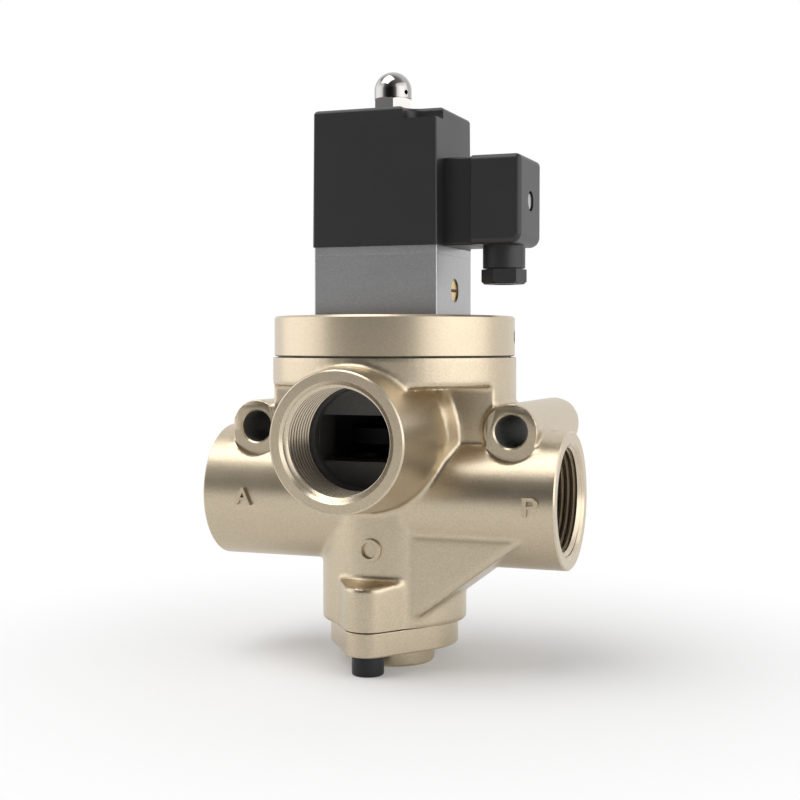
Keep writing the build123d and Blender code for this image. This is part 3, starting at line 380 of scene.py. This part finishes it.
for side in (-1, 1):
    place = (side * boss_x, boss_z)
    cores.append(bar(BOSS_HOLE, boss_front - OVERRUN, boss_back + OVERRUN, "Y", place, None, SMALL_SIDES))
    countersink = bar(BOSS_HOLE + OVERRUN + BOSS_CHAMFER, boss_front - OVERRUN, boss_front + BOSS_CHAMFER,
                      "Y", place, BOSS_HOLE, SMALL_SIDES)
    spot_face = bar(BOSS + SPOT_MARGIN, -LINE_TUBE, boss_front, "Y", place, None, SMALL_SIDES)
    cutters += [(countersink, machined_metal), (spot_face, cast_paint)]
SEAM_HEIGHT, SEAM_DEPTH, SEAM_MARGIN = 0.5, 2, 5
seam_gap = cut(bar(BARREL + SEAM_MARGIN, seam_z - SEAM_HEIGHT, seam_z + OVERRUN),
               bar(BARREL - SEAM_DEPTH, seam_z - 2 * SEAM_HEIGHT, seam_z + OVERRUN + 1))


def foot_outline(margin, low, high):
    """The foot's outline, wider or narrower by a margin, between two levels."""
    return hulled([bar(FOOT + margin, low, high)]
                  + [bar(LUG + margin, low, high, "Z", (0, side * LUG_OFFSET)) for side in (-1, 1)])


FOOT_GAP, FOOT_GAP_DEPTH, FOOT_MARGIN = 0.45, 1.8, 9
foot_gap = cut(foot_outline(FOOT_MARGIN, floor_z - OVERRUN, floor_z + FOOT_GAP),
               foot_outline(-FOOT_GAP_DEPTH, floor_z - OVERRUN - 1, floor_z + 1))
cores += [seam_gap, foot_gap]
tools = bpy.data.collections.new("machining_tools")
bpy.context.scene.collection.children.link(tools)
# The cores take the dark painted shade of the recesses.
for one, material in cutters + [(core, recess_painted_shade) for core in cores]:
    one.data.materials.clear()
    one.data.materials.append(material)
    for holder in list(one.users_collection):
        holder.objects.unlink(one)
    tools.objects.link(one)
modified(body, "BOOLEAN", operand_type="COLLECTION", collection=tools, solver="EXACT",
         material_mode="TRANSFER")
for one in list(tools.objects):
    bpy.data.objects.remove(one)
bpy.data.collections.remove(tools)


def settled(piece, body_name, angle=32):
    """Smooths a finished piece by angle and has it ride on its body."""
    chosen(piece)
    bpy.ops.object.shade_smooth_by_angle(angle=math.radians(angle))
    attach(piece, body_name)


settled(body, "valve_body")
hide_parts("body")


# Port threads: right-hand pipe thread of 2.309 mm pitch, cut into the three mouths of the casting after
# it was faced. The bores above stand at the thread's root, and these are its ridges, turned as one helix:
# the flanks are bright machined metal, and the crests, like the root bore, are painted near black as painted
# shade.
PITCH, CREST, THREAD_START = 2.309, 19.475, -2.0
FLANK_SHARE, LAND_SHARE = 0.44, 0.14
ROOT_SINK, CREST_MARGIN, END_OVERLAP, TRIM_MARGIN = 0.1, 0.05, 0.1, 1
# The ridge crests are painted near black as painted shade, for the thread's light and dark lines.
crest_painted_shade = finish_material(
    "painted_shade_thread_crest", (0.085, 0.073, 0.055), 0.5, 0.45, grain=2500, bump=0.15, depth=0.02)


def thread(name, axis, face, way, centre):
    """Helical ridge on the wall of one port, from near its face inwards."""
    bpy.ops.object.select_all(action="DESELECT")
    bpy.ops.mesh.primitive_circle_add(vertices=4, fill_type="NOTHING")
    ridge = bpy.context.object
    ridge.name = name
    flank = PITCH * FLANK_SHARE
    land = PITCH * LAND_SHARE
    root_radius = THREAD_ROOT + ROOT_SINK
    section = [(root_radius, -flank), (CREST, -land), (CREST, land), (root_radius, flank)]
    for vertex, (radius, height) in zip(ridge.data.vertices, section):
        vertex.co = (radius * MM, 0, height * MM)
    turns = math.ceil((THREAD_DEPTH - THREAD_START) / PITCH)
    modified(ridge, "SCREW", axis="Z", angle=2 * math.pi, screw_offset=PITCH * MM, iterations=turns, steps=96,
             render_steps=96, use_merge_vertices=False)
    bpy.ops.object.mode_set(mode="EDIT")
    bpy.ops.mesh.select_all(action="SELECT")
    bpy.ops.mesh.remove_doubles(threshold=1e-7)
    bpy.ops.mesh.select_all(action="DESELECT")
    bpy.ops.mesh.select_non_manifold()
    bpy.ops.mesh.edge_face_add()
    bpy.ops.mesh.select_all(action="SELECT")
    bpy.ops.mesh.normals_make_consistent(inside=False)
    bpy.ops.object.mode_set(mode="OBJECT")
    ridge.data.materials.append(machined_metal)
    ridge.data.materials.append(crest_painted_shade)
    # Crest facets take the painted shade; the flanks stay bright machined metal.
    for facet in ridge.data.polygons:
        on_crest = facet.center.xy.length < (CREST + CREST_MARGIN) * MM
        facet.material_index = 1 if on_crest else 0
    into = {"X": Matrix.Rotation(-way * math.pi / 2, 4, "Y"),
            "Y": Matrix.Rotation(way * math.pi / 2, 4, "X")}[axis]
    mouth = {"X": (face, *centre), "Y": (centre[0], face, centre[1])}[axis]
    inward = Vector([-way * (THREAD_START + flank) * (axis == a) for a in "XYZ"])
    ridge.data.transform(Matrix.Translation((Vector(mouth) + inward) * MM) @ into)
    trims = [(-2 * OVERRUN, CHAMFER + OVERRUN), (THREAD_DEPTH - END_OVERLAP, THREAD_DEPTH + 3 * PITCH)]
    radii = [(THREAD_ROOT + CHAMFER + 2 * OVERRUN, THREAD_ROOT - OVERRUN),
             (UNDERCUT + TRIM_MARGIN, UNDERCUT + TRIM_MARGIN)]
    for (start, end), (outer, inner) in zip(trims, radii):
        low, high = sorted((face - way * start, face - way * end))
        ends = (inner, outer) if way > 0 else (outer, inner)
        cut(ridge, bar(ends[0], low, high, axis, centre, ends[1], FINE_SIDES))
    settled(ridge, "valve_body", angle=25)


thread("thread_p", "X", line_reach, 1, (0, line_z))
thread("thread_a", "X", -line_reach, -1, (0, line_z))
thread("thread_o", "Y", -exhaust_reach, -1, (0, exhaust_z))


# Port marks: the letters P, A and O stand up from the casting beside their ports, as every such valve
# has them. They come from the mould, so they are coated with the body and have soft edges.
LETTER_RISE, LETTER_SINK, LETTER_BEVEL, CAPITAL_SHARE = 1.35, 1.2, 0.13, 0.72


def port_mark(letter, height, place, breadth=1.0):
    """One raised letter on the front of the casting, widened by a factor."""
    bpy.ops.object.select_all(action="DESELECT")
    bpy.ops.object.text_add()
    mark = bpy.context.object
    mark.data.body = letter
    mark.data.align_x = "CENTER"
    mark.data.align_y = "CENTER"
    mark.data.size = height / CAPITAL_SHARE * MM
    mark.data.extrude = (LETTER_RISE + LETTER_SINK) / 2 * MM
    mark.data.bevel_depth = LETTER_BEVEL * MM
    mark.data.bevel_resolution = 2
    mark.name = "port_mark_" + letter.lower()
    bpy.ops.object.convert(target="MESH")
    upright = Matrix.Rotation(math.pi / 2, 4, "X")
    widened = Matrix.Scale(breadth, 4, (1, 0, 0))
    mark.data.transform(Matrix.Translation(Vector(place) * MM) @ upright @ widened)
    mark.data.materials.append(cast_paint)
    settled(mark, "valve_body", angle=40)


mark_depth = (LETTER_RISE - LETTER_SINK) / 2
port_mark("P", 7.0, (61.8, -(LINE_TUBE + mark_depth), line_z - 0.4), breadth=1.3)
port_mark("A", 6.9, (-53.0, -(LINE_TUBE + mark_depth), line_z - 0.6))
port_mark("O", 8.6, (0.8, -(COLUMN + mark_depth), line_z - 18.9))


# Top cover: turned from bar as a thick disc, bored for the pilot air, and coated like the body.
# Four socket screws hold it on the barrel, two of them hidden from the front by the coil.
def dressed(node, bevel, material, angle=30, segments=2):
    """Stands for a CAD node with its mesh merged and its edges broken by a small bevel."""
    rides_on = body_of(nodes[node])[0]
    made = nodes[node].copy()
    made.data = nodes[node].data.copy()
    made.name = node + "_finished"
    made.parent = None
    made.matrix_world = Matrix.Identity(4)
    made.data.materials.clear()
    made.data.materials.append(material)
    bpy.context.scene.collection.objects.link(made)
    chosen(made)
    bpy.ops.object.mode_set(mode="EDIT")
    bpy.ops.mesh.select_all(action="SELECT")
    bpy.ops.mesh.remove_doubles(threshold=1e-6)
    bpy.ops.mesh.dissolve_limited(angle_limit=math.radians(0.4))
    bpy.ops.object.mode_set(mode="OBJECT")
    if bevel:
        modified(made, "BEVEL", width=bevel * MM, segments=segments, limit_method="ANGLE",
                 angle_limit=math.radians(angle), miter_outer="MITER_ARC", use_clamp_overlap=True)
    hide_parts(node)
    settled(made, rides_on, angle=38)
    if bevel:
        modified(made, "WEIGHTED_NORMAL", keep_sharp=True, weight=90)
    return made


turned_paint = finish_material(
    "champagne_coat_on_turned_face", PAINT, 0.92, 0.30, grain=2800, bump=0.6, depth=0.035, fleck=0.07,
    patch=50, patch_tone=0.02, patch_rough=0.03)
dressed("top_cover", 0.35, turned_paint)
black_steel = finish_material(
    "black_oxide_steel", (0.028, 0.028, 0.030), 0.6, 0.42, grain=2600, bump=0.15, patch_tone=0.15)
dressed("cover_screws", 0.2, black_steel)
steel = finish_material("turned_steel", (0.52, 0.52, 0.53), 1.0, 0.28, grain=3000, bump=0.1, patch_tone=0.04)
dressed("cover_set_screw", 0.12, steel)


# Bottom cover: cast plate under the foot, with the round boss that holds the return spring. Two black
# socket bolts come up through it, one in front and one behind, and stand level with the boss.
dressed("bottom_cover", 0.35, cast_paint)
dressed("bottom_bolts", 0.3, black_steel)


# Pilot block and the plate on it: milled aluminium, blasted to a fine grey grain and anodised clear,
# with its edges broken. Four countersunk screws go down through both into the cover.
blasted = finish_material(
    "blasted_aluminium", (0.42, 0.42, 0.425), 0.92, 0.36, grain=3600, bump=0.5, depth=0.03, fleck=0.12,
    patch=50, patch_tone=0.02)
dressed("pilot_block", 0.5, blasted)
dressed("coil_plate", 0.3, blasted)
dressed("block_screws", 0.1, steel)


# Manual override: slotted brass screw in the block's right side. A quarter turn of it lets pilot air
# past the nozzle, so that the valve can be worked with no current.
brass = finish_material("turned_brass", (0.70, 0.51, 0.22), 1.0, 0.26, grain=3000, bump=0.1, patch_tone=0.05)
dressed("override_screw", 0.2, brass)


# Coil: winding moulded into a square block of black glass-filled nylon, with a matt spark-eroded skin
# and a step in its front corner. The base of its connector stands out of the right side.
moulding = finish_material(
    "matt_black_nylon", (0.017, 0.017, 0.017), 0.0, 0.42, grain=3000, bump=0.25, depth=0.02, fleck=0.06,
    patch=60, patch_tone=0.05, patch_rough=0.02)
dressed("coil", 0.25, moulding, angle=40)


# Cap nut: domed hexagon nut, machined from steel bar and bright chromium plated, with a small vent in
# the dome. It clamps the coil down on the tube.
chrome = finish_material(
    "chromium_plate", (0.42, 0.405, 0.39), 1.0, 0.08, grain=900, bump=0.02, depth=0.01,
    patch_tone=0.01, patch_rough=0.01)
dressed("cap_nut", 0.3, chrome, angle=25, segments=3)


# Connector plug: black nylon housing pushed on the coil's contacts over a flat gasket, and held by one
# long slotted screw from the front. The gland's sleeve is moulded with it, its nut is a part of its own.
dressed("plug_housing", 0.3, moulding, angle=40)
dressed("gland_nut", 0.3, moulding, angle=25)
rubber = finish_material(
    "smooth_rubber", (0.018, 0.018, 0.018), 0.0, 0.55, grain=1500, bump=0.15, patch_tone=0.15)
dressed("plug_gasket", 0.1, rubber)
dressed("plug_screw", 0.15, steel)


# Inner pieces: what the mouths show and what the body hides. They keep their CAD shape and get the
# finish of their slot, apart from the piston, stem and poppets, which are near black as painted shade.
grey_nylon = finish_material("grey_nylon", (0.22, 0.22, 0.23), 0.0, 0.5, patch_tone=0.06)
# Near black steel, painted shade for the spool pieces and for the black steel slot inside the body.
inner_painted_shade_steel = finish_material("inner_steel_painted_shade", (0.010, 0.010, 0.011), 0.1, 0.7, patch_tone=0.1)
finishes = {"cast_paint": cast_paint, "bare_aluminium": machined_metal, "black_moulding": moulding,
            "chrome": chrome, "grey_moulding": grey_nylon, "brass": brass, "black_steel": inner_painted_shade_steel,
            "steel": steel, "rubber": rubber}
slots = {part["node"]: part["material_slot"] for part in frame["record"]["subparts"]}
for node, piece in nodes.items():
    piece.data.materials.clear()
    piece.data.materials.append(inner_painted_shade_steel if "spool" in body_of(piece) else finishes[slots[node]])


# Springs: wound from flat steel wire, their ends ground square. The return spring stands in the bottom
# cover and lifts the poppets, and the small one in the plunger bears on the fixed core.
for node, joint, seated_end in (("return_spring", "spool_slide", 0), ("plunger_spring", "plunger_slide", 1)):
    spring = dressed(node, 0, steel)
    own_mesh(spring)


# Studio: a wide pale floor under a white sky that is darker towards the camera, as in a light tent
# with its front open. Soft lamps stand to the left, the right and above.
FLOOR_SIZE = 8.0


def background_rays(tree):
    """One for the rays that show the background: those from the camera, off metal and through glass."""
    rays = tree.nodes.new("ShaderNodeLightPath")
    total = rays.outputs["Is Camera Ray"]
    for kind in ("Is Glossy Ray", "Is Transmission Ray"):
        more = tree.nodes.new("ShaderNodeMath")
        more.operation = "MAXIMUM"
        tree.links.new(total, more.inputs[0])
        tree.links.new(rays.outputs[kind], more.inputs[1])
        total = more.outputs[0]
    return total


bpy.ops.object.select_all(action="DESELECT")
bpy.ops.mesh.primitive_plane_add(size=FLOOR_SIZE, location=(0, 0, 0))
floor = bpy.context.object
floor.name = "studio_floor"
bpy.ops.object.transform_apply(location=True, rotation=True, scale=True)
floor_material = bpy.data.materials.new("pale_floor")
floor_material.use_nodes = True
tree = floor_material.node_tree
tree.nodes.clear()
output = tree.nodes.new("ShaderNodeOutputMaterial")
matt = tree.nodes.new("ShaderNodeBsdfDiffuse")
matt.inputs["Color"].default_value = (0.90, 0.90, 0.90, 1)
glow = tree.nodes.new("ShaderNodeEmission")
share = tree.nodes.new("ShaderNodeMath")
share.operation = "MULTIPLY"
spread = tree.nodes.new("ShaderNodeTexCoord")
reach = tree.nodes.new("ShaderNodeVectorMath")
reach.operation = "LENGTH"
fade = tree.nodes.new("ShaderNodeMapRange")
fade.interpolation_type = "SMOOTHSTEP"
for name, value in (("From Min", 0.04), ("From Max", 0.25), ("To Min", 0.12), ("To Max", 1.0)):
    fade.inputs[name].default_value = value
tree.links.new(spread.outputs["Object"], reach.inputs[0])
tree.links.new(reach.outputs["Value"], fade.inputs["Value"])
tree.links.new(fade.outputs["Result"], share.inputs[1])
blend = tree.nodes.new("ShaderNodeMixShader")
tree.links.new(background_rays(tree), share.inputs[0])
tree.links.new(share.outputs[0], blend.inputs[0])
tree.links.new(matt.outputs[0], blend.inputs[1])
tree.links.new(glow.outputs[0], blend.inputs[2])
tree.links.new(blend.outputs[0], output.inputs["Surface"])
floor.data.materials.append(floor_material)

world = bpy.data.worlds.new("light_tent")
bpy.context.scene.world = world
world.use_nodes = True
tree = world.node_tree
tree.nodes.clear()
output = tree.nodes.new("ShaderNodeOutputWorld")
direction = tree.nodes.new("ShaderNodeTexCoord")
parts = tree.nodes.new("ShaderNodeSeparateXYZ")
tree.links.new(direction.outputs["Generated"], parts.inputs[0])


def tent_wall(axis, start, end, low, high):
    """Brightness of the tent between two places along one axis of the view direction."""
    wall = tree.nodes.new("ShaderNodeMapRange")
    wall.interpolation_type = "SMOOTHSTEP"
    for name, value in (("From Min", start), ("From Max", end), ("To Min", low), ("To Max", high)):
        wall.inputs[name].default_value = value
    tree.links.new(parts.outputs[axis], wall.inputs["Value"])
    return wall.outputs["Result"]


def product(first, second):
    """Two brightness values multiplied."""
    node = tree.nodes.new("ShaderNodeMath")
    node.operation = "MULTIPLY"
    tree.links.new(first, node.inputs[0])
    tree.links.new(second, node.inputs[1])
    return node.outputs[0]


tent = product(tent_wall("Y", -0.98, -0.32, 0.02, 1.20), tent_wall("Z", 0.25, 0.70, 1.0, 0.20))
tent = product(tent, tent_wall("X", 0.35, 0.80, 1.0, 1.25))
rays = tree.nodes.new("ShaderNodeLightPath")
behind = product(background_rays(tree), tent_wall("Y", -0.1, 0.5, 0.0, 1.0))
white = tree.nodes.new("ShaderNodeMath")
white.operation = "MAXIMUM"
tree.links.new(rays.outputs["Is Camera Ray"], white.inputs[0])
tree.links.new(behind, white.inputs[1])
seen = tree.nodes.new("ShaderNodeMix")
seen.data_type = "FLOAT"
tree.links.new(white.outputs[0], seen.inputs["Factor"])
tree.links.new(tent, seen.inputs["A"])
seen.inputs["B"].default_value = 1.0
sky = tree.nodes.new("ShaderNodeBackground")
sky.inputs["Color"].default_value = (1, 1, 1, 1)
tree.links.new(seen.outputs["Result"], sky.inputs["Strength"])
tree.links.new(sky.outputs[0], output.inputs["Surface"])


def soft_lamp(name, place, aim, width, height, power):
    """Rectangular soft lamp that looks at a point."""
    data = bpy.data.lights.new(name, "AREA")
    data.shape = "RECTANGLE"
    data.size = width
    data.size_y = height
    data.energy = power
    lamp = bpy.data.objects.new(name, data)
    bpy.context.scene.collection.objects.link(lamp)
    lamp.location = place
    lamp.rotation_euler = (Vector(aim) - Vector(place)).to_track_quat("-Z", "Y").to_euler()


soft_lamp("left_lamp", (-0.85, -0.20, 0.35), (0, 0, 0.1), 1.1, 1.1, 2.4)
soft_lamp("right_lamp", (0.85, -0.15, 0.30), (0, 0, 0.1), 1.3, 1.2, 4.0)
soft_lamp("top_lamp", (-0.28, -0.30, 1.00), (0, 0, 0.08), 0.8, 0.8, 6.0)


# Camera: solved from the photograph's own outlines. It stands about level with the valve's middle, half a
# metre in front and to the right.
camera = bpy.data.objects.new("photo_camera", bpy.data.cameras.new("photo_camera"))
bpy.context.scene.collection.objects.link(camera)
camera.data.lens = 61.9
camera.data.sensor_width = 36.0
camera.location = (0.1914, -0.5054, 0.1242)
camera.rotation_euler = (math.radians(87.68), 0, math.radians(20.525))
bpy.context.scene.camera = camera
bpy.context.scene.view_settings.view_transform = "Standard"
